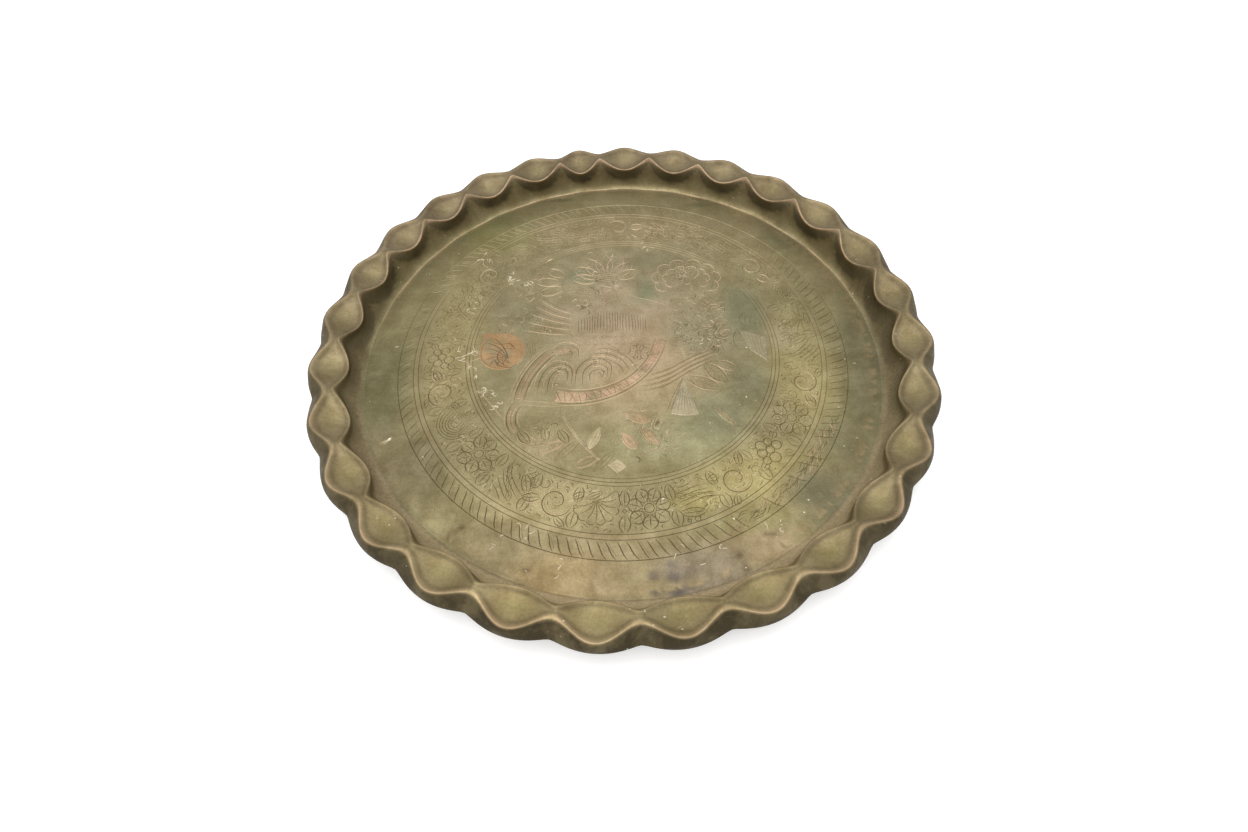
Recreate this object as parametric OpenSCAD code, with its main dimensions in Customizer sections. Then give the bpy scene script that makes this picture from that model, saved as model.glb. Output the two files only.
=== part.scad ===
// Shallow round tray raised from one sheet of brass, with a fluted rim of almond-shaped
// panels, a turned-down skirt, and small sheet inlays let into pockets of its floor.
// Millimetres, +Z up, origin on the underside at the centre, front towards -Y.

/* [Floor] */
// Radius of the crease where the flat floor ends
floor_r = 130.2; // [128:0.1:132]
// Thickness of the brass sheet
sheet_t = 1.2; // [1:0.1:1.5]

/* [Rim] */
// Number of lobes around the rim
lobes = 28; // [20:1:32]
// Height of the waists above the floor
waist_h = 17.2; // [14:0.1:20]
// Radius of the inner ridge at a waist
waist_in_r = 137.8; // [136:0.1:139]
// Radius of the outer ridge at a waist
waist_out_r = 142.6; // [141:0.1:144]
// Radius of the inner ridge at the middle of a lobe
lobe_in_r = 133; // [132:0.1:135]
// Height of the inner ridge above the floor at the middle of a lobe
lobe_in_h = 12; // [10:0.1:14]
// Radius of the outer ridge at the middle of a lobe
lobe_out_r = 149.2; // [146:0.1:150]
// Height of the outer ridge above the floor at the middle of a lobe
lobe_out_h = 17; // [15:0.1:18]
// How far the middle of a panel sinks below the line between its ridges
panel_dip = 2.6; // [1:0.1:3.5]
// How far the wall under a lobe steps back below the inner ridge
undercut = 2.0; // [0:0.1:2.5]
// Radius of the skirt's lower edge under a waist
skirt_waist_r = 149.6; // [147:0.1:150]
// Radius of the skirt's lower edge under the middle of a lobe
skirt_lobe_r = 152.4; // [151:0.1:154]
// Height of the skirt's lower edge above the floor
skirt_h = 11.8; // [9:0.1:13]

/* [Hand-made spacing] */
// Turn of the first waist from the front, in degrees
first_turn = 1.7; // [-5:0.1:5]
// Number of the lobe that came out narrow, counted anticlockwise from the front
narrow_lobe = 14; // [0:1:19]
// Width of the narrow lobe against an ordinary one
narrow_share = 0.8; // [0.8:0.01:1]
// Number of the first of three wide lobes
wide_lobe = 8; // [0:1:16]
// Width of a wide lobe against an ordinary one
wide_share = 1.09; // [1:0.01:1.1]

/* [Inlays] */
// Thickness of the inlaid sheet, and depth of its pockets
inlay_t = 0.5; // [0.3:0.1:0.8]

/* [Hidden] */
NODES = ["dish", "sash_tail", "sash_middle", "sash_head", "petal_patch", "ribbon_upper",
    "ribbon_lower", "ribbon_tip", "bloom_left", "bloom_right", "bloom_top", "fan_leaf",
    "wedge_leaf", "slim_leaf", "bud", "twig_leaf", "twig"];
$fn = 96;

brass = [0.45, 0.40, 0.24];
copper = [0.62, 0.42, 0.28];
silver = [0.62, 0.60, 0.52];

lobe_steps = 6; // columns of facets in one lobe
wall_steps = 4; // rows of facets from the floor's crease to the inner ridge
panel_steps = 4; // rows of facets across a panel
skirt_steps = 2; // rows of facets down the skirt
crease_in = 3; // flat ring kept inside the crease
skirt_swell = 0.5; // how far the skirt bulges between its ridge and its edge

// ---- spacing of the lobes ----
function share(i) = i == narrow_lobe ? narrow_share
    : i >= wide_lobe && i < wide_lobe + 3 ? wide_share : 1;
function share_sum(n) = n == 0 ? 0 : share_sum(n - 1) + share(n - 1);
lobe_unit = 360 / share_sum(lobes);
function waist_angle(i) = -90 + first_turn + lobe_unit * share_sum(i);

// ---- section through the rim, at the bulge c of a lobe: 0 at a waist, 1 at its middle ----
function mix(a, b, f) = a + (b - a) * f;
function inner_ridge(c) = [mix(waist_in_r, lobe_in_r, c), mix(waist_h, lobe_in_h, c)];
function outer_ridge(c) =
    [mix(waist_out_r, lobe_out_r, (c + c * c) / 2), mix(waist_h, lobe_out_h, c)];
function skirt_edge(c) = [mix(skirt_waist_r, skirt_lobe_r, c), skirt_h];

function wall_point(c, f) = let (top = inner_ridge(c))
    [mix(floor_r, top[0], sin(90 * f)) + undercut * c * sin(180 * pow(f, 0.8)),
    top[1] * (1 - cos(90 * f))];
function panel_point(c, f) = mix(inner_ridge(c), outer_ridge(c), f)
    - [0, panel_dip * (0.15 + 0.85 * c) * 4 * f * (1 - f)];
function skirt_point(c, f) = mix(outer_ridge(c), skirt_edge(c), f)
    + skirt_swell * sin(180 * f) * [1, 0.6];

function top_section(c) = [
    [floor_r - crease_in, 0],
    for (k = [0 : wall_steps - 1]) wall_point(c, k / wall_steps),
    for (k = [0 : panel_steps - 1]) panel_point(c, k / panel_steps),
    for (k = [0 : skirt_steps]) skirt_point(c, k / skirt_steps)];

// The underside follows the upper side at the thickness of the sheet.
function across(a, b) = let (d = b - a) [d[1], -d[0]] / norm(d);
function under_point(p, k) = k == 0 ? p[0] - [0, sheet_t]
    : p[k] + sheet_t * across(p[k - 1], p[min(k + 1, len(p) - 1)]);
function under_section(p) = [for (k = [len(p) - 1 : -1 : 0]) under_point(p, k)];

function section(c) = let (p = top_section(c)) concat(p, under_section(p));
function spun(p, angle) = [p[0] * cos(angle), p[0] * sin(angle), p[1] + sheet_t];

rows = len(section(0));
columns = lobes * lobe_steps;
function column_angle(n) = let (i = floor(n / lobe_steps), f = n / lobe_steps - i)
    mix(waist_angle(i), waist_angle(i + 1), f);
function column_bulge(n) = sin(180 * (n / lobe_steps - floor(n / lobe_steps)));

rim_points = [for (n = [0 : columns - 1], p = section(column_bulge(n))) spun(p, column_angle(n))];
function at(n, k) = (n % columns) * rows + k;
rim_faces = [
    [for (n = [columns - 1 : -1 : 0]) at(n, 0)],
    [for (n = [0 : columns - 1]) at(n, rows - 1)],
    for (n = [0 : columns - 1], k = [0 : rows - 2])
        each [[at(n, k), at(n, k + 1), at(n + 1, k + 1)], [at(n, k), at(n + 1, k + 1), at(n + 1, k)]]];

// ---- outlines of the inlays ----
// A leaf between two equal arcs, from one tip to the other.
module leaf(from, to, width) {
    span = norm(to - from);
    arc_r = (span * span / 4 + width * width / 4) / width;
    middle = (from + to) / 2;
    translate(middle) rotate(atan2(to[1] - from[1], to[0] - from[0])) intersection() {
        translate([0, arc_r - width / 2]) circle(arc_r, $fn = 180);
        translate([0, width / 2 - arc_r]) circle(arc_r, $fn = 180);
    }
}

// The part of the plane between two directions seen from a centre.
module sector(centre, from_angle, to_angle, reach) {
    middle_angle = (from_angle + to_angle) / 2;
    translate(centre) polygon([[0, 0], reach * [cos(from_angle), sin(from_angle)],
        1.3 * reach * [cos(middle_angle), sin(middle_angle)],
        reach * [cos(to_angle), sin(to_angle)]]);
}

// A strip of even width along an arc.
module arc_strip(centre, r, width, from_angle, to_angle) {
    intersection() {
        translate(centre) difference() {
            circle(r + width / 2, $fn = 180);
            circle(r - width / 2, $fn = 180);
        }
        sector(centre, from_angle, to_angle, r * 1.5);
    }
}

sash_outer = [-24, 12]; // centre of the sash's outer arc
sash_outer_r = 47;
sash_inner = [-21, 10]; // centre of the sash's inner arc
sash_inner_r = 39;

module sash(from_angle, to_angle) {
    intersection() {
        difference() {
            translate(sash_outer) circle(sash_outer_r, $fn = 180);
            translate(sash_inner) circle(sash_inner_r, $fn = 180);
        }
        sector(sash_outer, from_angle, to_angle, 90);
    }
}

petal_centre = [-62, -2];
petal_r = 12;
petal_tip = [-73, 11];

module outline(name) {
    if (name == "sash_tail") sash(-102, -60);
    if (name == "sash_middle") sash(-59, -44.5);
    if (name == "sash_head") sash(-42, -10);
    if (name == "petal_patch") {
        translate(petal_centre) circle(petal_r);
        polygon([petal_tip, petal_centre + [-11.5, 3.4], petal_centre, petal_centre + [2, 11.8]]);
    }
    if (name == "ribbon_upper") arc_strip([-5, -37], 46, 3, 132, 174);
    if (name == "ribbon_lower") arc_strip([-42, -43], 12, 2.6, 140, 222);
    if (name == "ribbon_tip") leaf([-37, -4], [-26, -1], 4.4);
    if (name == "bloom_left") leaf([-1, -53], [6, -62], 6);
    if (name == "bloom_right") leaf([8, -50], [16, -60], 5);
    if (name == "bloom_top") leaf([0, -42], [13, -47], 6);
    if (name == "fan_leaf") intersection() {
        translate([30, -22]) circle(22);
        sector([30, -22], -110, -74, 40);
    }
    if (name == "wedge_leaf") polygon([[62, 9], [75.5, 4], [73.5, -12], [66, -5]]);
    if (name == "slim_leaf") leaf([43, -39], [54, -51], 3.6);
    if (name == "bud") polygon([[-8, -69.5], [-3, -66.5], [1, -70.5], [-3.5, -74]]);
    if (name == "twig_leaf") leaf([-11, -49], [-17, -62], 5);
    if (name == "twig") arc_strip([51, -3.5], 89, 1.6, 206, 225.5);
}

module inlay(name) {
    translate([0, 0, sheet_t - inlay_t]) linear_extrude(inlay_t) outline(name);
}

module pocket(name) {
    translate([0, 0, sheet_t - inlay_t]) linear_extrude(inlay_t + 1) outline(name);
}

// ---- the pieces ----
module dish() {
    color(brass) difference() {
        polyhedron(rim_points, rim_faces, 10);
        for (n = [1 : len(NODES) - 1]) pocket(NODES[n]);
    }
}
module sash_tail() { color(copper) inlay("sash_tail"); }
module sash_middle() { color(copper) inlay("sash_middle"); }
module sash_head() { color(copper) inlay("sash_head"); }
module petal_patch() { color(copper) inlay("petal_patch"); }
module ribbon_upper() { color(copper) inlay("ribbon_upper"); }
module ribbon_lower() { color(copper) inlay("ribbon_lower"); }
module ribbon_tip() { color(copper) inlay("ribbon_tip"); }
module bloom_left() { color(copper) inlay("bloom_left"); }
module bloom_right() { color(copper) inlay("bloom_right"); }
module bloom_top() { color(copper) inlay("bloom_top"); }
module fan_leaf() { color(silver) inlay("fan_leaf"); }
module wedge_leaf() { color(silver) inlay("wedge_leaf"); }
module slim_leaf() { color(silver) inlay("slim_leaf"); }
module bud() { color(silver) inlay("bud"); }
module twig_leaf() { color(silver) inlay("twig_leaf"); }
module twig() { color(copper) inlay("twig"); }

dish();
sash_tail();
sash_middle();
sash_head();
petal_patch();
ribbon_upper();
ribbon_lower();
ribbon_tip();
bloom_left();
bloom_right();
bloom_top();
fan_leaf();
wedge_leaf();
slim_leaf();
bud();
twig_leaf();
twig();
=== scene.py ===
import itertools
import random
from math import atan2, cos, degrees, dist, exp, hypot, pi, radians, sin, sqrt

import bmesh
import bpy
from mathutils import Matrix, Vector, kdtree
from mathutils.geometry import delaunay_2d_cdt


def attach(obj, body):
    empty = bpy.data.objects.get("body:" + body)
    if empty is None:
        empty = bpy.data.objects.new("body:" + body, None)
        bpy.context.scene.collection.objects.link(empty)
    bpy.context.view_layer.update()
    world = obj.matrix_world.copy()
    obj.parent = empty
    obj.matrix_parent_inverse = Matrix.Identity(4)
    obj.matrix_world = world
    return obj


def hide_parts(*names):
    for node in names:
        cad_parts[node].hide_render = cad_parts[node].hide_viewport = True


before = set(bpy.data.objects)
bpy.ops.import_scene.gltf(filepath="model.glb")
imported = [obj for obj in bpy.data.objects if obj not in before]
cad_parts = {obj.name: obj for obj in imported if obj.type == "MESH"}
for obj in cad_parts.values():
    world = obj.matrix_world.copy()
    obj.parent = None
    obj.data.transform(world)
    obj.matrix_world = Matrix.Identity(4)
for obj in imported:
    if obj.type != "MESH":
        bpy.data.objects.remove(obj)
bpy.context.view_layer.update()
mm = 0.001
dice = random.Random(28)
print("stage: frame loaded")


# colours are given as they look on a screen and turned into light values
def paint(red, green, blue):
    return tuple((v / 255 / 12.92 if v < 10 else ((v / 255 + 0.055) / 1.055) ** 2.4)
                 for v in (red, green, blue)) + (1.0,)


def mix(a, b, f):
    return a + (b - a) * f


def blendPaint(a, b, f):
    return [mix(p, q, f) for p, q in zip(a, b)]


def clamp(v, low=0.0, high=1.0):
    return max(low, min(high, v))


def smooth(v):
    v = clamp(v)
    return v * v * (3 - 2 * v)


def polar(r, a, cx=0.0, cy=0.0):
    return cx + r * cos(a), cy + r * sin(a)


# the rim's section
rim = {
    "lobes": 28,
    "steps": 20,            # columns of faces in one lobe
    "firstTurn": 1.7,       # degrees from the front to the first waist
    "narrowLobe": 14, "narrowShare": 0.8,
    "wideLobe": 8, "wideShare": 1.09,
    "floorTop": 1.2,        # millimetres from here on
    "joinR": 127.2,         # where the rim's mesh meets the engraved floor
    "creaseR": 130.0, "beadH": 0.14, "beadW": 1.6,
    "waistH": 17.2, "waistInR": 137.8, "waistOutR": 142.6,
    "lobeInR": 133.0, "lobeInH": 12.0, "lobeOutR": 149.2, "lobeOutH": 17.0,
    "dip": 2.0, "undercut": 2.0, "wallLong": 13.0,
    "skirtWaistR": 149.6, "skirtLobeR": 152.2, "skirtH": 12.0, "skirtSwell": 0.5,
    "wall": 0.8,            # the sheet has thinned where it was raised
    "ridgeTurn": 1.0,       # half the stretch over which a ridge rounds
    "rubIn": 0.85, "rubOut": 1.0, "rubSkirt": 0.6,  # how wide the ridges are rubbed bare
    "sharpIn": 0.10, "sharpOut": 0.22,  # how round the ridges turn at a waist
    "uneven": 0.35,         # how far hand work strays
}

# lines round the rim: 0 to 1 is the wall, 1 to 2 the panel, 2 to 3 the skirt
upperRows = [0.0, 0.06, 0.13, 0.22, 0.32, 0.43, 0.54, 0.65, 0.75, 0.83, 0.9, 0.95, 1.0,
             1.04, 1.08, 1.14, 1.22, 1.31, 1.41, 1.5, 1.59, 1.69, 1.78, 1.86, 1.92, 1.96, 2.0,
             2.05, 2.11, 2.2, 2.32, 2.48, 2.66, 2.84, 3.0]
underRows = [3.0, 2.75, 2.4, 1.8, 1.62, 1.38, 1.15, 0.84, 0.62, 0.4, 0.18, 0.0]


def lobeShare(i):
    if i == rim["narrowLobe"]:
        return rim["narrowShare"]
    if rim["wideLobe"] <= i < rim["wideLobe"] + 3:
        return rim["wideShare"]
    return 1.0


shares = [lobeShare(i) for i in range(rim["lobes"])]
waistAngles = [radians(-90 + rim["firstTurn"] + 360 * sum(shares[:i]) / sum(shares))
               for i in range(rim["lobes"] + 1)]
strays = [[dice.uniform(-1, 1) * rim["uneven"] for _ in range(6)] for _ in range(rim["lobes"])]


# 0 at a waist, 1 at the middle of a lobe
def bulge(f, softness):
    c = abs(sin(pi * f))
    return (hypot(c, softness) - softness) / (hypot(1, softness) - softness)


# radius and height of a point: lobe, share of the way along it, line of the section
def rawSection(i, f, t):
    here, after = strays[i], strays[(i + 1) % rim["lobes"]]
    waistR, waistZ = mix(here[0], after[0], f), mix(here[1], after[1], f)
    cIn, cOut = bulge(f, rim["sharpIn"]), bulge(f, rim["sharpOut"])
    inR = mix(rim["waistInR"] + waistR, rim["lobeInR"] + here[2], cIn)
    inZ = mix(rim["waistH"] + waistZ, rim["lobeInH"] + here[3], cIn)
    outR = mix(rim["waistOutR"] + waistR, rim["lobeOutR"] + here[4], (cOut + cOut * cOut) / 2)
    outZ = mix(rim["waistH"] + waistZ, rim["lobeOutH"] + here[5] * 0.6, cOut)
    if t < 1:
        s = mix(sin(pi / 2 * t), t, 0.3)
        r = mix(rim["creaseR"], inR, s) + rim["undercut"] * cIn * sin(pi * t ** 0.8)
        return r, inZ * mix(1 - cos(pi / 2 * t), t, 0.6)
    if t < 2:
        s = t - 1
        sink = rim["dip"] * (0.12 + 0.88 * cIn) * (4 * s * (1 - s)) ** 0.62
        return mix(inR, outR, s), mix(inZ, outZ, s) - sink
    s = t - 2
    swell = rim["skirtSwell"] * sin(pi * s)
    edgeR = mix(rim["skirtWaistR"], rim["skirtLobeR"], cIn)
    return mix(outR, edgeR, s) + swell, mix(outZ, rim["skirtH"], s) + 0.6 * swell


# the same with its ridges rounded
def section(i, f, t):
    if t < 0.1:
        return rawSection(i, f, t)
    panel = dist(rawSection(i, f, 1), rawSection(i, f, 2))
    reach = rim["ridgeTurn"] / min(rim["wallLong"], panel)
    points = [rawSection(i, f, clamp(t + reach * k / 3, 0, 3)) for k in range(-3, 4)]
    return sum(p[0] for p in points) / 7, sum(p[1] for p in points) / 7


# the same on the underside of the sheet
def underPoint(i, f, t):
    a, b = section(i, f, max(t - 0.04, 0)), section(i, f, min(t + 0.04, 3))
    r, z = section(i, f, t)
    dr, dz = b[0] - a[0], b[1] - a[1]
    length = hypot(dr, dz) or 1
    wall = mix(rim["floorTop"], rim["wall"], smooth(t / 0.5))
    return r + wall * dz / length, z - wall * dr / length


# engraving
cutStyle = {
    "step": 1.65, "width": 0.42, "depth": 0.16,   # millimetres
    "fadeFrom": 5, "fadeOver": 90, "fadeDepth": 0.4, "fadeWax": 0.3, "fadePale": 0.42,  # towards the back
}


def arcPoints(cx, cy, r, fromDeg, toDeg, step=None):
    step = step or cutStyle["step"]
    n = max(2, int(abs(radians(toDeg - fromDeg)) * r / step) + 1)
    angles = [radians(mix(fromDeg, toDeg, k / n)) for k in range(n + 1)]
    return [polar(r, a, cx, cy) for a in angles]


def curvePoints(knots, step=None):
    step = step or cutStyle["step"]
    p = [knots[0]] + list(knots) + [knots[-1]]
    out = []
    for a, b, c, d in zip(p, p[1:], p[2:], p[3:]):
        n = max(1, int(dist(b, c) / step + 0.5))
        for k in range(n):
            t = k / n
            out.append(tuple(0.5 * (2 * b[j] + (c[j] - a[j]) * t
                                    + (2 * a[j] - 5 * b[j] + 4 * c[j] - d[j]) * t * t
                                    + (3 * b[j] - a[j] - 3 * c[j] + d[j]) * t ** 3) for j in (0, 1)))
    out.append(tuple(knots[-1]))
    return out


class Graver:  # collects the cuts of one engraved surface
    def __init__(self):
        self.cuts = []
        self.turn = lambda p: p

    def cut(self, points, width=1.0, pale=0.0, closed=False):
        self.cuts.append({"points": [self.turn(p) for p in points], "width": cutStyle["width"] * width,
                          "pale": pale, "closed": closed})

    def line(self, *knots, width=1.0, pale=0.0):
        self.cut(curvePoints(knots), width, pale)

    def ring(self, cx, cy, r, width=1.0, pale=0.0, step=None):
        self.cut(arcPoints(cx, cy, r, 0, 360, step)[:-1], width, pale, closed=True)

    def arc(self, cx, cy, r, a, b, width=1.0, pale=0.0):
        self.cut(arcPoints(cx, cy, r, a, b), width, pale)

    def leaf(self, a, b, wide, ribs=4, width=1.0, pale=0.0, echo=0.0):
        dx, dy = b[0] - a[0], b[1] - a[1]
        span = hypot(dx, dy)
        ux, uy = dx / span, dy / span

        def at(s, side):
            off = side * wide / 2 * sin(pi * s) ** 0.8
            return a[0] + ux * span * s - uy * off, a[1] + uy * span * s + ux * off

        for side in (-1, 1):
            self.line(*[at(s, side) for s in (0, 0.2, 0.45, 0.7, 0.88, 1)], width=width, pale=pale)
            if echo:  # a lighter line follows the outline
                self.line(*[at(s, side * (1 + 2 * echo / wide)) for s in (0.06, 0.25, 0.5, 0.75, 0.95)],
                          width=width, pale=0.9)
        self.line(*[at(s, 0) for s in (0, 0.3, 0.6, 0.92)], width=width * 0.8, pale=pale)
        for k in range(ribs):
            s = (k + 0.6) / (ribs + 0.9)
            for side in (-0.85, 0.85):
                self.line(at(s, 0), at(min(s + 0.16, 0.97), side), width=width * 0.7, pale=pale)

    def spiral(self, cx, cy, r, start, turns, width=1.0, pale=0.0):
        n = max(6, int(abs(turns) * 9))
        self.line(*[polar(r * (1 - 0.86 * k / n), start + turns * 2 * pi * k / n, cx, cy)
                    for k in range(n + 1)], width=width, pale=pale)

    # lines side by side, changing evenly from the first to the last
    def family(self, count, first, last, width=1.0, pales=(0.0,)):
        for k in range(count):
            s = k / (count - 1)
            self.line(*[(mix(a[0], b[0], s), mix(a[1], b[1], s)) for a, b in zip(first, last)],
                      width=width, pale=pales[k % len(pales)])


# every motif takes the graver, its reach and the way it faces
def roseMotif(g, r, way=1, petals=7):
    g.ring(0, 0, r * 0.22)
    g.ring(0, 0, r * 0.32, width=0.7)
    for k in range(petals):
        a = 2 * pi * k / petals + 0.3
        g.leaf(polar(r * 0.3, a), polar(r, a), 2 * pi * r / petals * 0.72, ribs=1, width=1.25)


def fanMotif(g, reach, way, ribs=9):
    r = 0.95 * reach
    for k in range(ribs):
        a = radians(mix(-8, 188, k / (ribs - 1)))
        long = r * (1.15 if k == ribs // 2 else 1.0)
        g.line((0, -r * 0.5), (long * 0.45 * cos(a), -r * 0.35 + long * 0.5 * sin(a)),
               polar(long, a, 0, -r * 0.4), width=0.9)
        if k:
            b = radians(mix(-8, 188, (k - 0.5) / (ribs - 1)))
            g.arc(*polar(r * 0.93, b, 0, -r * 0.4), r * 0.2,
                  degrees(b) - 85, degrees(b) + 85)
    g.leaf((-r * 0.5, -r * 0.75), (r * 0.5, -r * 0.75), r * 0.3, ribs=2)


def vineMotif(g, r, way):
    g.spiral(-way * r * 0.15, 0, r * 0.78, 0.4, 1.5 * way, width=1.25)
    g.spiral(-way * r * 0.15, 0, r * 0.68, 0.4, 1.3 * way, pale=0.8)
    g.spiral(way * r * 0.75, r * 0.45, r * 0.35, 2.6, -1.2 * way, width=0.8)
    g.leaf((way * r * 0.5, -r * 0.2), (way * r * 1.15, -r * 0.75), r * 0.4, ribs=3, width=1.2, echo=0.75)
    g.leaf((-way * r * 0.7, r * 0.5), (-way * r * 1.1, r * 0.95), r * 0.3, ribs=2, width=1.2)
    g.leaf((-way * r * 0.5, -r * 0.6), (-way * r * 1.1, -r * 0.85), r * 0.3, ribs=2)


def plumeMotif(g, r, way):
    for k in range(5):
        s = k / 4
        g.line((-way * r * (0.95 - s * 0.5), -r * 0.9 + s * r * 1.6),
               (-way * r * (0.3 - s * 0.2), r * (-0.25 + s * 0.95)),
               (way * r * (0.95 - s * 0.5), r * (0.1 + s * 0.8)), width=0.9)
    for k in range(4):
        g.leaf((-way * r * (0.75 - 0.35 * k), -r * 0.55 + 0.28 * r * k),
               (-way * r * (0.35 - 0.35 * k), -r * 0.1 + 0.26 * r * k), r * 0.24, ribs=1, width=0.8)
    g.leaf((way * r * 0.1, -r * 0.75), (way * r * 1.05, -r * 0.1), r * 0.42, ribs=4)
    g.ring(way * r * 0.65, -r * 0.75, r * 0.13)
    g.ring(way * r * 0.95, -r * 0.6, r * 0.1)


berries = [(0, 0), (0.42, 0.1), (0.2, 0.42), (-0.22, 0.38), (-0.4, 0.0), (0.1, -0.4), (0.5, -0.3)]


def fruitMotif(g, r, way):
    for k, (u, v) in enumerate(berries):
        g.ring(way * u * r, v * r, r * (0.2 + 0.03 * (k % 3)), width=1.2)
        g.arc(way * u * r, v * r, r * 0.11, 30, 250, pale=0.8)
    for k in range(4):
        c, s = cos(radians(35 + 90 * k)), sin(radians(35 + 90 * k))
        g.leaf((r * 0.6 * c, r * 0.6 * s), (r * 1.2 * c, r * s), r * 0.35, ribs=2)


def rippleMotif(g, r, way):
    for k in range(6):
        s = r * (0.22 + 0.15 * k)
        g.line((-s, -r * 0.8), (-s * 0.95, r * 0.1 * k / 5), (-s * 0.45, s * 0.75), (s * 0.35, s * 0.8),
               (s * 0.9, r * 0.12), (s * 0.8, -r * 0.7), width=0.85)
    c, s = cos(radians(10 * way)), sin(radians(10 * way))
    size, gap = r * 0.5, 1.1
    for k in range(int(size / gap) + 1):  # short hatching under the ripples
        v = -size / 2 + k * gap
        half = size / 2 * (0.75 + 0.25 * dice.random()) * sqrt(max(0.15, 1 - (2 * v / size) ** 2 * 0.8))
        stroke = [(half * share, v) for share in (-1, -0.5, 0, 0.5, 1)]
        g.line(*[(u * c - v * s, -size + u * s + v * c) for u, v in stroke], width=0.7)


band = {"innerR": 81.5, "outerR": 103.0, "reach": 10.1}
motifs = [fanMotif, roseMotif, vineMotif, plumeMotif, fruitMotif, rippleMotif]
motifOrder = [0, 2, 3, 1, 5, 2, 4, 3, 1, 2, 5, 3, 0, 2, 4, 1, 3, 2, 5, 0, 3, 2, 1, 4, 2, 3, 1]


def cutBand(g):
    middle = (band["innerR"] + band["outerR"]) / 2
    for k, motif in enumerate(motifOrder):
        theta = radians(-97) - 2 * pi * k / len(motifOrder)
        tilt = radians(dice.uniform(-30, 30))
        flip = -1 if k % 2 else 1
        shift = dice.uniform(-0.8, 0.8)

        def bend(p, theta=theta, tilt=tilt, flip=flip, shift=shift):
            u = p[0] * cos(tilt) - p[1] * sin(tilt)
            v = (p[0] * sin(tilt) + p[1] * cos(tilt)) * flip + shift
            return polar(middle + clamp(v, -10.2, 10.2), theta + u / middle)

        g.turn = bend
        motifs[motif](g, band["reach"], flip)
        # a pair of leaves and a berry part one motif from the next
        g.turn = lambda p, theta=theta: polar(middle + p[1], theta + p[0] / middle)
        for side in (1, -1):
            g.leaf((-10.6, 1.6 * side), (-10.9, 10.2 * side), 4.8, ribs=4, width=1.1)
        g.ring(-10.7, 0, 1.0, width=0.8)
    g.turn = lambda p: p


rope = {"innerR": 105.6, "outerR": 114.1, "strands": 158, "lean": 5.2, "shiftX": -1.3}


def cutRope(g):
    for k in range(rope["strands"]):
        theta = 2 * pi * k / rope["strands"] + dice.uniform(-0.004, 0.004)
        worn = -1.08 < atan2(sin(theta), cos(theta)) < -0.5
        if worn and dice.random() < 0.75:
            continue

        def at(u, s, theta=theta):
            inner = rope["innerR"] + rope["shiftX"] * cos(theta)
            r = mix(inner, rope["outerR"], s)
            return polar(r, theta + u / r)

        lean = rope["lean"] + dice.uniform(-0.5, 0.5)
        strand = [at(-lean * 0.5, 0), at(-lean * 0.2, 0.3), at(lean * 0.1, 0.7), at(lean * 0.5, 1)]
        g.line(*strand, width=dice.uniform(1.05, 1.35))
        if k % 3 == 0:  # some strands keep a second, lighter line
            twin = ((-lean * 0.4, 0.1), (-lean * 0.15, 0.35), (lean * 0.35, 0.85))
            g.line(*[at(u + 1.0, s) for u, s in twin], width=0.8, pale=0.6)
    # where the strands have gone, long plume strokes lie over each other
    for k in range(110):
        a = dice.uniform(-1.1, -0.42)
        r, long, lift = dice.uniform(106, 112), dice.uniform(4, 9), dice.uniform(0.1, 0.6)
        steps = [(long * s / 4, 0.6 * sin(s * 1.3 + k) + lift * s) for s in range(5)]
        g.line(*[polar(r + v, a - u / r) for u, v in steps], width=0.8, pale=(0.75, 0.1)[k % 2])


# each ring: how far its middle is shifted, its radius and its width
ringCuts = [(0, 76.8, 0.8), (0, 78.6, 0.9), (0, 80.4, 0.9), (-1.3, 102.8, 0.9), (-1.3, 105.2, 0.9),
            (0, 114.1, 0.95)]
raisedRings = [(0, 76.8, 80.4), (-1.3, 102.8, 105.2)]  # the strips between these cuts are painted lighter, a painted highlight as on raised beads


def cutRings(g):
    for x, r, width in ringCuts:
        g.ring(x, 0, r, width=width, step=3.2)
    for k in range(9):  # tool marks where the rings were closed
        a = dice.uniform(0, 6.28)
        g.line(polar(79.2, a), polar(80.2, a + 0.02), width=0.8)


def ribbonAndSash(g):
    # two outlines run out of the sash to the left and up along the ribbon
    for off in (0, 2.4):
        g.line((-52.5, -32.4 - off * 0.9), (-44, -34 - off), (-34, -34.6 - off), (-25, -35.5 - off * 0.4),
               width=1.1, pale=0.7)
    for r, pale in ((43.6, 0.0), (42.6, 1.0), (48.4, 0.0), (49.3, 1.0), (50.9, 1.0)):
        g.arc(-5, -37, r, 128, 178, width=1.15, pale=pale)
    for r, pale in ((9.8, 0.0), (8.9, 1.0), (14.1, 0.0), (15.0, 1.0)):
        g.arc(-42, -43, r, 134, 226, width=1.1, pale=pale)
    for middle, r, pale in (((-24, 12), 47.7, 0.0), ((-24, 12), 48.7, 1.0), ((-21, 10), 38.4, 0.0),
                            ((-21, 10), 37.5, 1.0)):
        g.arc(*middle, r, -110, -6, width=1.1, pale=pale)


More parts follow.
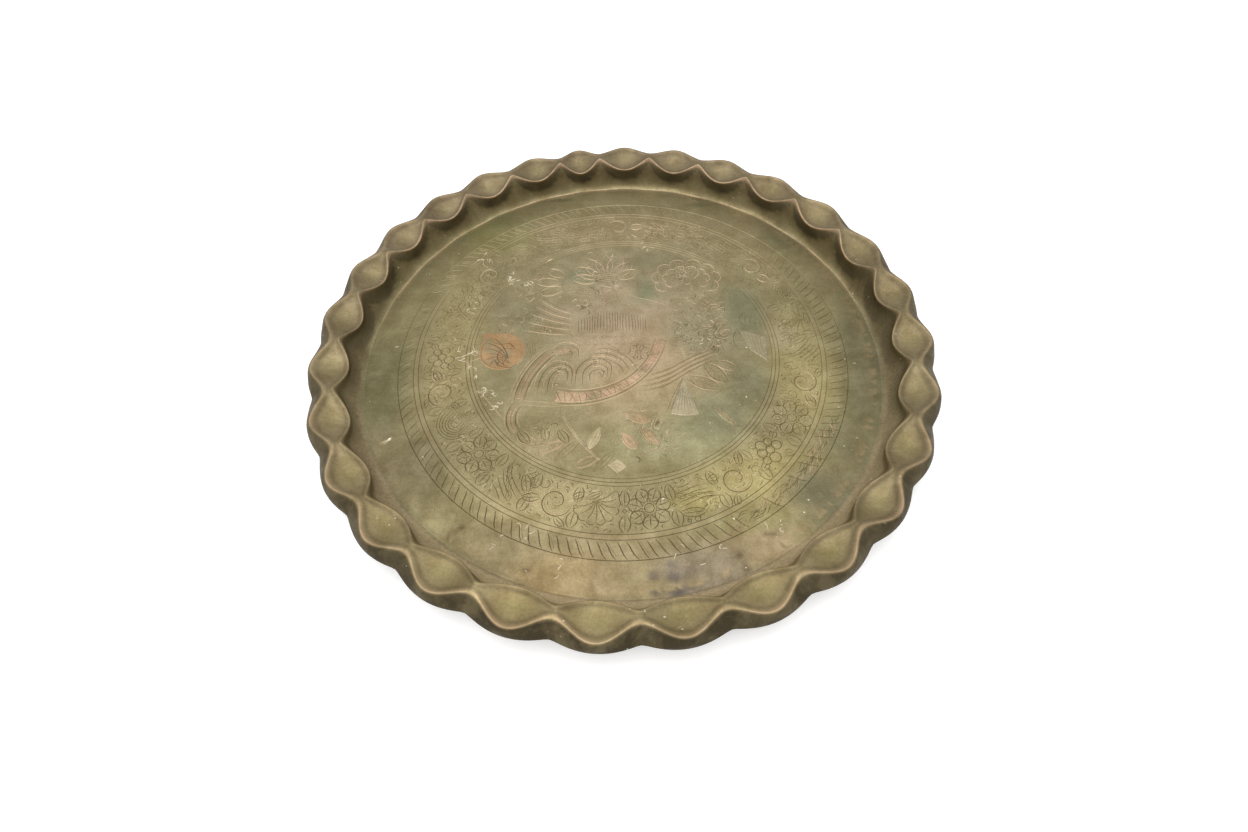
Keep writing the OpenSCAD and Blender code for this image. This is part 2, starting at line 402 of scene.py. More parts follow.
def curlsAndHatching(g):
    # nested curls between ribbon and sash
    g.family(5, [(-45, -30), (-42, -16), (-34, -9), (-25, -13), (-24.5, -26)],
             [(-35, -30), (-34.5, -21), (-31, -16.5), (-28.5, -18), (-29.5, -23)], 1.1, (0.95, 0.0))
    g.family(5, [(-24, -27), (-22.5, -14), (-15, -7.5), (-6, -12), (-7, -24)],
             [(-16, -23.5), (-16.5, -18), (-12.5, -15), (-9.5, -16.5), (-10.5, -21)], 1.1, (0.0, 0.95))
    g.family(4, [(-39, -3), (-31, 3), (-22, 0), (-20.5, -8)],
             [(-33, -6), (-29.5, -2.5), (-26, -3.5), (-26, -6.5)], 1.1, (0.95, 0.0))
    g.leaf((-28, 10), (-18, 1), 4.5, ribs=3, pale=0.7)
    g.family(5, [(-17, -3), (-8, -1.5), (2, -7), (7, -15)], [(-17, -9), (-9, -8.5), (-2, -12.5), (1, -19)],
             1.05, (0.0, 0.95))
    # an open flower where the curls meet
    g.turn = lambda p: (p[0] + 8.5, p[1] - 4.5)
    roseMotif(g, 5.6, petals=6)
    g.turn = lambda p: p
    for row in range(3):  # short bowed strokes in the middle
        for k in range(8 - row):
            x, y = -19 + k * 3.6 + row * 1.6, 1.6 + 2.6 * row
            g.line((x, y + 0.9), (x + 1.6, y - 0.7), (x + 3.1, y + 0.8), width=0.95, pale=0.9 * (row == 1))
    # upright hatching, and feathers fanning to the left of it
    for k in range(25):
        x = -23 + k * 1.5
        top = 19 + 6 * sin(pi * k / 24)
        g.line((x, 9.5 + 0.8 * sin(k)), (x + 0.4 * sin(k * 0.7), 14), (x, top), width=0.85)
        if k % 2:
            g.line((x + 0.75, 10.5), (x + 0.75, 14), (x + 0.75, top - 1.5), width=0.8, pale=1.0)
    for k in range(10):
        s = k / 9
        g.line((mix(-27, -25, s), mix(8, 24, s)), (mix(-38, -36, s), mix(9, 29.5, s)),
               (mix(-52, -45, s), mix(12, 38, s)), width=1.0, pale=(0.95, 0.0)[k % 2])
        if k < 9:
            g.line((mix(-41, -39, s), mix(10.4, 31.6, s)), (mix(-50, -45, s), mix(13.4, 37, s)),
                   width=0.7, pale=0.2)
    # wavy scribble to the right of the hatching
    for k in range(230):
        x, y = dice.uniform(20, 55), dice.uniform(-9, 34)
        if hypot(x + 24, y - 12) < 49 or hypot(x - 36, y - 12) > 22:
            continue
        a = dice.uniform(-0.7, 0.9)
        ca, sa = cos(a), sin(a)
        pts = [(u, 0.75 * sin(u * 1.45 + k)) for u in (0, 0.9, 1.8, 2.7, 3.6, 4.5)]
        g.line(*[(x + u * ca - v * sa, y + u * sa + v * ca) for u, v in pts], width=0.85,
               pale=dice.choice((0.1, 0.8)))


# direction, length and width of each leaf in the spray
sprayLeaves = [(168, 17, 6), (146, 19, 7), (122, 20, 7.5), (98, 21, 8), (74, 20, 7.5), (52, 17, 6.5),
               (30, 15, 6)]


def leavesAndClouds(g):
    # long feathered leaf from the right down to the sash
    g.family(7, [(48, -3), (37, -7.5), (23, -16), (10, -20.5)],
             [(46, -11), (33, -18), (21, -26), (8.5, -29.5)], 1.1, (0.0, 1.0))
    g.line((49, -6), (53, -8.5), (49, -11), (46, -10), width=0.9, pale=0.3)
    g.leaf((41, -12), (52, -26), 6.5, ribs=5, width=0.95, echo=0.8)
    g.leaf((31, -21), (49, -29), 6, ribs=5, width=0.95, echo=0.8)
    g.leaf((47, -12), (58, -17), 4.2, ribs=3, width=0.9, echo=0.7)
    for k in range(4):
        g.line((30, -21), (24 + k * 1.2, -33 - k), (21 + k * 1.5, -41), width=0.8, pale=0.3)
    g.leaf((18, -30), (22, -36), 2.4, ribs=1, pale=0.4)
    # scalloped cloud outlines towards the top right
    for layer, pale in enumerate((1.0, 0.0, 0.9)):
        for k in range(8):
            a = radians(-30 + 34 * k)
            cx, cy = 37 + (15 - layer * 2.4) * cos(a), 48 + (11 - layer * 2) * sin(a)
            g.arc(cx, cy, 4.6 - layer * 0.7, degrees(a) - 100, degrees(a) + 100, pale=pale)
    for k in range(5):
        g.spiral(24 + k * 7, 38 + 4 * sin(k * 2), 2.6, k, 1.2, width=0.8, pale=0.2)
    g.leaf((48, 36), (57, 30), 4, ribs=3)
    g.leaf((54, 42), (60, 34), 3.5, ribs=2)
    # spray of leaves at the top
    for a, long, wide in sprayLeaves:
        c, s = cos(radians(a)), sin(radians(a))
        g.leaf((-7 + 5 * c, 47 + 4 * s), (-7 + (5 + long) * c, 46 + (4 + long) * s), wide, ribs=6,
               pale=0.35, echo=0.8)
    for k in range(5):
        g.arc(-7, 44, 3 + 1.6 * k, 20, 160, width=0.8, pale=0.4)
    for k in range(7):
        g.line((-32, 46 - k * 1.3), (-25, 44 - k * 1.1), (-17, 46.5 - k * 1.4), width=0.75, pale=0.3)
    g.line((2, 41), (7, 35), (15, 32), (25, 27.5), width=1.0, pale=0.5)
    g.line((-3, 40), (-1, 32), (6, 27), (9, 20), width=0.9, pale=0.4)
    # sprigs and curls at the upper left
    g.leaf((-31, 43), (-46, 38), 5.4, ribs=5, pale=0.3, echo=0.8)
    g.leaf((-33, 47), (-49, 48), 5, ribs=5, echo=0.8)
    g.leaf((-31, 51), (-42, 58), 4.6, ribs=4, echo=0.7)
    for k in range(5):
        g.spiral(-52 + 1.2 * k, 36 + 5.2 * k, 2.3, 0.8 * k, 1.3, width=0.85, pale=0.6)
    g.line((-35, 57), (-31, 51), (-33, 44), (-28, 38), (-17, 36), width=0.9, pale=0.4)
    g.line((-44, 63), (-39, 66.5), width=1.0, pale=0.9)


groundCurls = [(3, -38.5), (12, -53), (18, -47), (-4, -45), (1, -50), (18, -63), (9, -64), (21, -54)]
# foot and tip of each small leaf
groundLeaves = [((-5, -50), (-9, -54)), ((-3, -54), (-6, -60)), ((15, -43), (21, -40)),
                ((19, -51), (26, -52)), ((7, -51), (9, -56))]
# loose lines of the lower half: width, how pale, knots
groundLines = [
    (0.8, 0.6, (-7, -45), (0, -41), (8, -44), (17, -46), (24, -44)),
    (0.8, 0.5, (9, -48), (5, -56), (8, -63), (15, -62), (17, -55), (13, -50)),
    (0.9, 0.4, (42, -39), (48, -41.5), (52, -47), (56, -53)),
    (0.8, 0.3, (43, -33), (52, -28.5), (60, -29), (70, -31)),
    (0.8, 0.0, (53, -29), (56, -33)),
    (0.9, 0.2, (61, 10), (58, 3), (60, -4), (66, -8)),
]


def groundWork(g):
    # leaves along the foot of the medallion
    for k in range(5):
        a = radians(-130 + 7.2 * k)
        b = a + radians(8.5 - 1.5 * (k % 3))
        low, high = 74.5, 66 - 3.2 * (k % 3)
        g.leaf(polar(low, a), polar(high, b), 3.6, ribs=3, width=0.9, pale=0.4 + 0.5 * (k % 2),
               echo=0.6 * (k % 2))
    g.leaf((-50, -50), (-44, -58), 4.2, ribs=4, echo=0.7)
    g.leaf((-31, -50), (-26, -58), 4.2, ribs=5, echo=0.7)
    g.leaf((-38, -48), (-36, -57), 4, ribs=4, pale=0.4)
    g.leaf((-27.5, -46), (-21.5, -43), 3, ribs=1, pale=0.5)
    g.line((-30, -37), (-30.5, -41), (-27, -47), width=0.9, pale=0.6)
    for x, y in groundCurls:
        g.spiral(x, y, 2.0, x, 1.1, width=0.85, pale=0.8)
    for foot, tip in groundLeaves:
        g.leaf(foot, tip, 3, ribs=2, width=0.85, pale=0.6)
    for width, pale, *knots in groundLines:
        g.line(*knots, width=width, pale=pale)
    for k in range(5):
        g.line((64 + k * 2.4, 12 - k * 0.7), (63 + k * 2.6, 17 - k), (66 + k * 2, 22 - k * 1.5),
               width=0.75, pale=0.2)
    # loose flourishes at the left
    for k in range(9):
        x, y = -73 + k * 1.5, -24 - k * 1.9
        g.line((x, y), (x + 2.6, y - 3.5), (x + 5.5, y - 5.2), width=0.8, pale=0.9)
        if k % 2:
            g.line((x + 2, y - 1), (x + 4.5, y - 1.4), (x + 6, y - 3.4), width=0.7, pale=0.9)
    for k in range(4):
        g.arc(-62, -2, 13.4 + k * 1.2, -75 + 6 * k, 62 - 10 * k, width=0.9, pale=0.35)
    g.line((-59, 24), (-64, 22.6), (-70, 23.5), width=0.9, pale=0.4)
    g.line((-83, -10), (-76, -7.5), (-70, -4.5), width=0.8, pale=0.8)


# lime caught in the cuts: place, spread, how many scribbles
flecks = [(-83, -5, 4, 5), (-76, -3, 2.5, 5), (-73, -15, 3, 4), (-67, -28, 4, 8), (-61, -36, 4, 5),
          (-62, 50, 3.5, 8), (-52, 47, 3, 4), (-79, 70, 4, 5), (17, 75, 4, 3), (9, 79, 5, 2),
          (-80, 30, 3, 3), (-56, -106, 3, 3), (-27, -117, 4, 3), (46, 4, 8, 3), (-44, -99, 9, 3),
          (-116, 4, 2, 1), (27, -112, 8, 2), (63, -101, 7, 4), (40, -110, 4, 2), (-10, 62, 9, 3)]


def cutFlecks(g):
    for x, y, spread, count in flecks:
        for _ in range(round(count * 1.4)):
            u, v = x + dice.gauss(0, spread * 0.5), y + dice.gauss(0, spread * 0.5)
            way, turn = dice.uniform(0, 6.28), dice.uniform(-0.9, 0.9)
            row = [(u, v)]
            for _ in range(dice.randint(2, 6)):
                u, v = polar(0.8, way, u, v)
                way += turn + dice.uniform(-0.5, 0.5)
                row.append((u, v))
            if max(hypot(*p) for p in row) < rim["joinR"] - 2:
                g.cut(row, width=dice.uniform(0.75, 1.15), pale=2.0)
    g.line((-42.5, 64.5), (-40.5, 66), (-38.5, 67.2), width=1.3, pale=2.0)
    g.line((-84, -6), (-78, -2.5), (-74, -1), width=1.1, pale=2.0)
    g.cut([(-110.5, -54.2), (-109.9, -53.8), (-109.3, -53.2), (-108.9, -52.4)], width=4.0, pale=2.0)


# short curved strokes fill the ground wherever other cuts leave room
def fillGround(g, middle, innerR, outerR, tries, gap, long, pales=(0.0,), width=0.8):
    cell = 1.5
    taken = {}

    def note(p):
        taken.setdefault((int(p[0] // cell), int(p[1] // cell)), []).append(p)

    def reach(p):
        return dist(p, middle)

    def free(p):
        i, j = int(p[0] // cell), int(p[1] // cell)
        return all(dist(p, q) > gap for a in (i - 1, i, i + 1) for b in (j - 1, j, j + 1)
                   for q in taken.get((a, b), ()))

    for cut in g.cuts:
        points = cut["points"]
        for a, b in zip(points, points[1:]):
            if innerR - 3 < reach(a) < outerR + 3:
                note(a)
                note((mix(a[0], b[0], 0.5), mix(a[1], b[1], 0.5)))
    for _ in range(tries):
        r = sqrt(mix(innerR ** 2, outerR ** 2, dice.random()))
        a, way = dice.uniform(0, 2 * pi), dice.uniform(0, 2 * pi)
        curl, length = dice.uniform(-1.4, 1.4), long * dice.uniform(0.6, 1.3)
        x, y = polar(r, a, *middle)
        steps = max(3, round(length / 1.1))
        stroke = [(x, y)]
        for k in range(steps):
            x, y = polar(length / steps, way + curl * 3 * k / steps, x, y)
            stroke.append((x, y))
        if all(free(p) and innerR <= reach(p) < outerR for p in stroke):
            g.cut(stroke, width=width * dice.uniform(0.8, 1.2), pale=dice.choice(pales))
            for p in stroke:
                note(p)


# parts of the medallion that carry fine curls: middle, reach
curlPatches = [(-42, 22, 17), (-14, 32, 14), (42, 6, 17), (38, 48, 15), (-8, 54, 20), (-32, -18, 13),
               (-8, -10, 12), (-37, -56, 13), (12, -54, 17), (44, -20, 13), (-48, 44, 13), (-60, 14, 8)]


# how much fine, half-worn line work the finish shows at a place
def fineWork(x, y):
    r = hypot(x, y)
    most = 0.8 * smooth((r - 80.5) / 2) * smooth((102.5 - r) / 2)
    for cx, cy, reach in curlPatches:
        most = max(most, smooth(1.6 * (1 - hypot(x - cx, y - cy) / (reach * 1.15))))
    return most


floorGraver = Graver()
cutRings(floorGraver)
cutRope(floorGraver)
cutBand(floorGraver)
for drawPart in (ribbonAndSash, curlsAndHatching, leavesAndClouds, groundWork):
    drawPart(floorGraver)
cutFlecks(floorGraver)
for x, y, reach in curlPatches:
    fillGround(floorGraver, (x, y), 0, reach, 6 * reach, 1.3, 7.0, pales=(0.0, 0.95, 0.7), width=1.15)
fillGround(floorGraver, (0, 0), 81.4, 102.2, 9000, 0.95, 3.6, width=0.95)
print("stage: drew", len(floorGraver.cuts), "cuts")


# turning cuts into a mesh: each cut is a V with its two edges and its bottom line
def spreadCut(cut):
    points = cut["points"]
    n = len(points)
    left, right, half = [], [], []
    for k, p in enumerate(points):
        before = points[k - 1] if k or cut["closed"] else p
        after = points[(k + 1) % n] if k < n - 1 or cut["closed"] else p
        dx, dy = after[0] - before[0], after[1] - before[1]
        length = hypot(dx, dy) or 1
        w = cut["width"] / 2
        if not cut["closed"]:
            w *= clamp(0.25 + 3.2 * min(k, n - 1 - k) / n, 0, 1) if 0 < k < n - 1 else 0
        half.append(w)
        left.append((p[0] - dy / length * w, p[1] + dx / length * w))
        right.append((p[0] + dy / length * w, p[1] - dx / length * w))
    return left, right, half


class CutField:  # answers how deep the cuts are at a point
    def __init__(self, cuts):
        self.spans = []
        for cut in cuts:
            half = spreadCut(cut)[2]
            p = cut["points"]
            pairs = list(zip(range(len(p)), range(1, len(p)))) + ([(len(p) - 1, 0)] if cut["closed"] else [])
            self.spans += [(p[a], p[b], half[a], half[b], cut["pale"]) for a, b in pairs]
        self.reach = max((dist(s[0], s[1]) for s in self.spans), default=0) / 2 + cutStyle["width"]
        self.tree = kdtree.KDTree(max(1, len(self.spans)))
        for k, (a, b, *_) in enumerate(self.spans):
            self.tree.insert(((a[0] + b[0]) / 2, (a[1] + b[1]) / 2, 0), k)
        self.tree.balance()

    def at(self, x, y):
        deepest, palest = 0.0, 0.0
        for _, k, _ in self.tree.find_range((x, y, 0), self.reach):
            a, b, wa, wb, pale = self.spans[k]
            dx, dy = b[0] - a[0], b[1] - a[1]
            t = clamp(((x - a[0]) * dx + (y - a[1]) * dy) / (dx * dx + dy * dy + 1e-12))
            w = mix(wa, wb, t)
            off = hypot(x - a[0] - t * dx, y - a[1] - t * dy)
            if w > 0 and off < w:
                share = (1 - off / w) * min(1.3, w * 2 / cutStyle["width"])
                if share > deepest:
                    deepest, palest = share, pale
        return deepest, palest


def insideLoop(loop, x, y):
    inside = False
    for (ax, ay), (bx, by) in zip(loop, loop[1:] + loop[:1]):
        if (ay > y) != (by > y) and x < ax + (y - ay) * (bx - ax) / (by - ay):
            inside = not inside
    return inside


def loopBox(loop):
    xs, ys = [p[0] for p in loop], [p[1] for p in loop]
    return min(xs), min(ys), max(xs), max(ys)


def inBox(box, x, y):
    return box[0] <= x <= box[2] and box[1] <= y <= box[3]


# spacing of the loose points between the cuts, in millimetres
sheetStyle = {"lattice": 4.4, "edgeGap": 1.5, "smallStain": 15, "stainLattice": 1.1}


def cutSheet(cuts, outer, loops, spacing, reachR, spots=()):
    points, edges = [], []

    def chain(row, closed):
        first = len(points)
        points.extend(Vector(p) for p in row)
        last = len(points)
        edges.extend((k, k + 1) for k in range(first, last - 1))
        if closed:
            edges.append((last - 1, first))

    chain(outer, True)
    for loop in loops:
        chain(loop, True)
    for cut in cuts:
        left, right, _ = spreadCut(cut)
        if cut["closed"]:
            for row in (left, right, cut["points"]):
                chain(row, True)
        else:
            first = len(points)
            chain(cut["points"], False)
            last = len(points) - 1
            for row in (left[1:-1], right[1:-1]):
                start = len(points)
                chain(row, False)
                if row:
                    edges.extend([(first, start), (len(points) - 1, last)])
    rows = int(reachR / spacing / 0.866) + 2
    for j in range(-rows, rows + 1):
        for k in range(-rows, rows + 1):
            x, y = (k + 0.5 * (j % 2)) * spacing + dice.uniform(-0.2, 0.2) * spacing, j * spacing * 0.866
            if hypot(x, y) < reachR:
                points.append(Vector((x, y)))
    gap = sheetStyle["stainLattice"]
    for x, y, reach in spots:  # closer points under small stains
        n = int(reach / gap)
        for j, k in itertools.product(range(-n, n + 1), repeat=2):
            if hypot(j, k) <= n and hypot(x + j * gap, y + k * gap) < rim["joinR"] - 1:
                points.append(Vector((x + j * gap + 0.3 * (k % 2), y + k * gap)))
    field = CutField(cuts)
    flat, _, faces, *_ = delaunay_2d_cdt(points, edges, [], 0, 1e-4, False)
    return flat, faces, field


def newLayers(bm):
    names = ("groove", "pale", "worn", "grime", "chalk", "fine")
    layers = {name: bm.verts.layers.float.new(name) for name in names}
    layers["tint"] = bm.verts.layers.float_color.new("tint")
    return layers


def finishPiece(name, bm):
    mesh = bpy.data.meshes.new(name)
    bm.to_mesh(mesh)
    bm.free()
    piece = bpy.data.objects.new(name, mesh)
    bpy.context.scene.collection.objects.link(piece)
    return piece


# pieces of the plate are drawn in millimetres
def finishSheet(name, bm):
    bmesh.ops.scale(bm, verts=bm.verts, vec=(mm, mm, mm))
    return finishPiece(name, bm)


# the inlays' outlines come from the frame's own sheets
def nodeOutline(node):
    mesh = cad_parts[node].data
    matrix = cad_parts[node].matrix_world
    bm = bmesh.new()
    bm.from_mesh(mesh)
    bmesh.ops.transform(bm, matrix=matrix, verts=bm.verts)
    bmesh.ops.remove_doubles(bm, verts=bm.verts, dist=1e-6)
    top = max(v.co.z for v in bm.verts)
    upper = {f for f in bm.faces if all(abs(v.co.z - top) < 1e-6 for v in f.verts)}
    follow = {}
    for f in upper:
        for loop in f.loops:
            if len([g for g in loop.edge.link_faces if g in upper]) == 1:
                follow[loop.vert] = loop.link_loop_next.vert
    start = next(iter(follow))
    ordered, here = [], start
    while True:
        ordered.append((here.co.x / mm, here.co.y / mm))
        here = follow[here]
        if here is start or len(ordered) > 2000:
            break
    bm.free()
    return ordered


# long straight runs get points of their own, and very short ones lose them
def evenLoop(loop, step):
    out = []
    for a, b in zip(loop, loop[1:] + loop[:1]):
        n = max(1, int(dist(a, b) / step + 0.5))
        for k in range(n):
            p = (mix(a[0], b[0], k / n), mix(a[1], b[1], k / n))
            if not out or dist(out[-1], p) > step * 0.3:
                out.append(p)
    return out


def shrinkLoop(loop, by):
    area = sum(a[0] * b[1] - a[1] * b[0] for a, b in zip(loop, loop[1:] + loop[:1]))
    side = 1 if area > 0 else -1
    out = []
    for k, p in enumerate(loop):
        a, b = loop[k - 1], loop[(k + 1) % len(loop)]
        dx, dy = b[0] - a[0], b[1] - a[1]
        length = hypot(dx, dy) or 1
        out.append((p[0] - side * dy / length * by, p[1] + side * dx / length * by))
    return out


inlayNodes = [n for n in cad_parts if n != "dish"]
outlines = {n: evenLoop(nodeOutline(n), 0.9) for n in inlayNodes}
print("stage: outlines of", len(outlines), "inlays")

# stains and worn patches of the sheet, with painted light: the first three rows lay a painted reflection, a
# lighter and pinker zone over the middle and front, and the row at (0, 121) a lighter band along the back rim
# against its shade; place and reach in millimetres, tone, strength
stainAndLightRows = [
    ((0, 20), (95, 95), (161, 150, 122), 0.9), ((8, -16), (48, 48), (186, 165, 134), 0.75),
    ((-5, 12), (45, 35), (176, 156, 132), 0.55), ((-2, -118), (78, 26), (150, 135, 105), 0.8),
    # painted light: the row at (0, 121) lightens the band along the back rim
    ((-30, -117), (30, 12), (158, 137, 99), 0.6), ((0, 121), (104, 13), (158, 147, 112), 0.6),
    ((114, -42), (15, 24), (110, 106, 80), 0.75), ((33, -117), (32, 14), (130, 119, 102), 0.75),
    ((20, -119), (13, 7), (110, 98, 90), 0.7), ((19, -121.5), (4.5, 3.4), (76, 68, 72), 0.75),
    ((10.5, -120.5), (3.4, 3), (84, 74, 72), 0.75), ((18, -116), (3, 2.4), (92, 84, 84), 0.6),
    ((-56, -106), (36, 20), (126, 114, 85), 0.75), ((-96, -72), (26, 36), (116, 107, 81), 0.75),
    ((-114, -42), (15, 26), (112, 106, 80), 0.6), ((78, 93), (30, 24), (152, 140, 108), 0.5),
    ((-78, 93), (30, 24), (152, 141, 108), 0.5), ((90, -20), (22, 58), (176, 164, 116), 0.85),
    ((60, -76), (44, 24), (174, 162, 112), 0.85), ((30, -88), (16, 10), (174, 164, 106), 0.5),
    ((56, -98), (26, 10), (156, 148, 104), 0.6), ((84, -84), (22, 18), (112, 108, 88), 0.85),
    ((101, -62), (18, 24), (118, 114, 88), 0.7), ((62, -107), (34, 9), (162, 142, 112), 0.6),
    ((-76, 92), (34, 26), (122, 124, 88), 0.7), ((-37, 121), (12, 4), (96, 96, 70), 0.7),
    ((51, 113), (12, 4), (100, 98, 72), 0.6), ((94, 82), (16, 22), (110, 108, 80), 0.7),
    ((-36, -88), (44, 18), (172, 159, 120), 0.7), ((-86, 10), (22, 76), (164, 151, 110), 0.75),
    ((0, 90), (80, 22), (160, 145, 112), 0.75), ((76, 60), (26, 40), (156, 144, 108), 0.5),
    ((-70, 84), (34, 22), (150, 142, 92), 0.5), ((-118, -20), (16, 44), (112, 110, 80), 0.8),
    ((121, -8), (14, 48), (112, 108, 84), 0.8), ((66, 22), (16, 34), (122, 124, 98), 0.8),
    ((62, -26), (16, 20), (126, 126, 100), 0.7), ((14, 38), (9, 16), (128, 130, 102), 0.8),
    ((-22, 52), (14, 10), (126, 126, 100), 0.7), ((-52, 22), (14, 18), (126, 122, 98), 0.6),
    ((-4, 40), (16, 9), (184, 166, 140), 0.6), ((18, 26), (18, 10), (180, 162, 136), 0.5),
    ((-34, 22), (12, 9), (176, 158, 132), 0.5), ((36, 8), (18, 18), (142, 138, 110), 0.7),
    ((-62, -30), (12, 22), (132, 126, 96), 0.6), ((-66, 30), (10, 20), (132, 122, 96), 0.5),
    ((24, -58), (46, 20), (154, 151, 118), 0.85), ((44, -44), (26, 20), (130, 131, 105), 0.65),
    ((52, 0), (24, 24), (142, 136, 108), 0.6), ((-48, -34), (22, 16), (160, 148, 116), 0.5),
    ((-36, -60), (26, 12), (160, 147, 114), 0.6), ((20, 62), (24, 12), (132, 125, 98), 0.6),
    ((84, 4), (14, 16), (166, 152, 128), 0.5), ((-70, -98), (2.8, 2.3), (92, 74, 48), 0.85),
    ((-41, -117), (3.4, 1.6), (104, 90, 66), 0.7), ((46, -113), (2.6, 2.2), (92, 76, 56), 0.8),
    ((60, -104), (5, 1.6), (96, 84, 66), 0.7),
]
stainsAndLight = [(place, reach, paint(*tone), much) for place, reach, tone, much in stainAndLightRows]
sheetColour = paint(140, 131, 97)


def stainAndLightColour(x, y):
    colour = list(sheetColour)
    for (cx, cy), (rx, ry), tone, much in stainsAndLight:
        d = hypot((x - cx) / rx, (y - cy) / ry)
        if d < 1:
            colour = blendPaint(colour, tone, much * smooth(1.25 * (1 - d)))
    # next to the rim the floor is browner, most of all at the right
    r = hypot(x, y)
    edge = exp(-((r - 128) / 2.6) ** 2) * (0.4 + 0.35 * x / (r + 1) - 0.1 * y / (r + 1))
    return blendPaint(colour, paint(162, 142, 108), edge)


# tints of the wall and panels, with painted light and shade: lighter at the front, darker at the back and
# sides, and the spot, a painted highlight of the overhead light in each panel
rimTints = {
    "panelBack": paint(131, 117, 92), "panelFront": paint(168, 152, 112), "spot": paint(156, 148, 98),
    "panelRight": paint(134, 120, 92),
    "wallBack": paint(120, 108, 76), "wallSide": paint(100, 90, 60), "wallFront": paint(168, 150, 114),
    "lobeSpread": 0.09, "spotBack": 0.2, "spotFront": 0.6,
}


# how much a place belongs to the front, the back and the two sides
def quarters(a):
    front, back = smooth(0.25 - 0.5 * sin(a)), smooth(0.1 + 1.6 * sin(a))
    return front, back, 1 - max(front, back)


def rimTint(i, f, t, a):
    front, back, side = quarters(a)
    tone = 1 + rimTints["lobeSpread"] * strays[i][4] / rim["uneven"]
    # painted light and shade by side: wall and panel are lighter at the front, darker at the back and sides
    if t < 1:
        colour = blendPaint(rimTints["wallBack"], rimTints["wallFront"], front)
        colour = blendPaint(colour, rimTints["wallSide"], side)
    else:
        colour = blendPaint(rimTints["panelBack"], rimTints["panelFront"], front)
        right = smooth((cos(a) - 0.35) / 0.4)
        colour = blendPaint(colour, rimTints["panelRight"], 0.85 * right)
        # painted highlight: a lighter spot in the middle of each panel, strongest at the front
        spot = exp(-((t - 1.5) / 0.24) ** 2 - ((f - 0.5) / 0.22) ** 2)
        spot *= mix(rimTints["spotBack"], rimTints["spotFront"], front)
        colour = blendPaint(colour, rimTints["spot"], spot)
    return [v * tone for v in colour[:3]] + [1.0]


# where the rim is rubbed bare and painted with highlights, where painted shade darkens it and where painted
# light brightens the coves
def rimWear(i, f, t, c, a):
    inner, outer = section(i, f, 1), section(i, f, 2)
    panel = dist(inner, outer)
    front, back, side = quarters(a)
    if t < 1:
        # painted shade: the upper wall under each ridge is darkened as by the undercut's shadow; at the front
        # only a thin band under the ridge
        low = mix(mix(0.88, 0.42, c ** 0.6), mix(0.42, 0.05, c ** 0.6), side)
        grime = smooth((t - low + 0.04) / 0.1) * mix(1.0, 0.6, clamp((t - low) / 0.5)) * (1 - front)
        grime = max(grime, front * 0.85 * smooth((t - 0.7) / 0.12), 0.06 * smooth(t / 0.3))
        grime *= 1 - smooth((t - 0.92) / 0.07)
        # painted light: the coves at the front, and the upper wall at the back between lobes, are brightened
        # and made duller
        chalk = front * 0.9 * (1 - smooth((t - 0.6) / 0.25)) * smooth(t / 0.1)
        chalk += 0.3 * back * (1 - c) * smooth((t - 0.6) / 0.3)
        # the inner ridge is rubbed bare and carries a painted highlight, strongest at the back; a painted
        # highlight line runs along the crease at the back
        worn = exp(-((1 - t) * rim["wallLong"] / rim["rubIn"]) ** 2) * mix(0.3, 1, back)
        return max(worn, 0.75 * back * exp(-(t / 0.035) ** 2)), grime * (1 - worn), chalk
    saddle = mix(0.5, 1, max(back, c))
    rubbedAndLit = mix(0.22, 0.8, front) * saddle  # rubbed bare and painted with a highlight, most at the front edge
    if t <= 2:
        offIn, offOut = (t - 1) * panel, (2 - t) * panel
        # both ridges of a panel: rubbed bare metal with a painted highlight
        worn = max(mix(0.3, 1, back) * saddle * exp(-(offIn / rim["rubIn"]) ** 2),
                   rubbedAndLit * exp(-(offOut / rim["rubOut"]) ** 2))
        # painted shade: a darker band just inside both ridges of each panel, deeper at the front
        ring = exp(-((min(offIn, offOut) - 2.0) / 1.1) ** 2)
        return worn, mix(0.26, 0.56, front) * ring * (1 - worn), 0.0
    # just below the ridge the skirt is rubbed bare with a painted highlight; further down painted shade
    # darkens it, most at the front
    off = (t - 2) * dist(outer, section(i, f, 3))
    worn = rubbedAndLit * exp(-(off / rim["rubSkirt"]) ** 2)
    return worn, smooth(off / 1.2) * mix(0.75, 1.1, front), 0.0


columns = rim["lobes"] * rim["steps"]
# the bead where the floor meets the wall: distance inside the crease, height, how rubbed, which paints a
# highlight line along the crease
beadRows = [(rim["creaseR"] - rim["joinR"], 0, 0), (rim["beadW"], 0, 0),
            (0.6 * rim["beadW"], 0.6 * rim["beadH"], 0.12), (0.15 * rim["beadW"], rim["beadH"], 0.75)]


def columnAngle(n):
    i, k = divmod(n % columns, rim["steps"])
    return mix(waistAngles[i], waistAngles[i + 1], k / rim["steps"])


def openEdges(bm):
    return sum(1 for e in bm.edges if len(e.link_faces) != 2)


# radius, height above the floor, and wear with painted highlight, painted shade and painted cove light of one
# point of the rim
def rimPoint(row, i, f, a):
    if row < len(beadRows):
        inward, z, worn = beadRows[row]
        return rim["creaseR"] - inward, z, worn * quarters(a)[1], 0.0, 0.0
    row -= len(beadRows)
    if row < len(upperRows):
        t = upperRows[row]
        r, z = section(i, f, t)
        return r, z + rim["beadH"] * (1 - smooth(t / 0.3)), *rimWear(i, f, t, bulge(f, 0.1), a)
    row -= len(upperRows)
    # painted shade: the underside rows of the rim are darkened
    if row < len(underRows):
        return *underPoint(i, f, underRows[row]), 0.0, 0.55, 0.0
    return rim["joinR"], -rim["floorTop"], 0.0, 0.4, 0.0


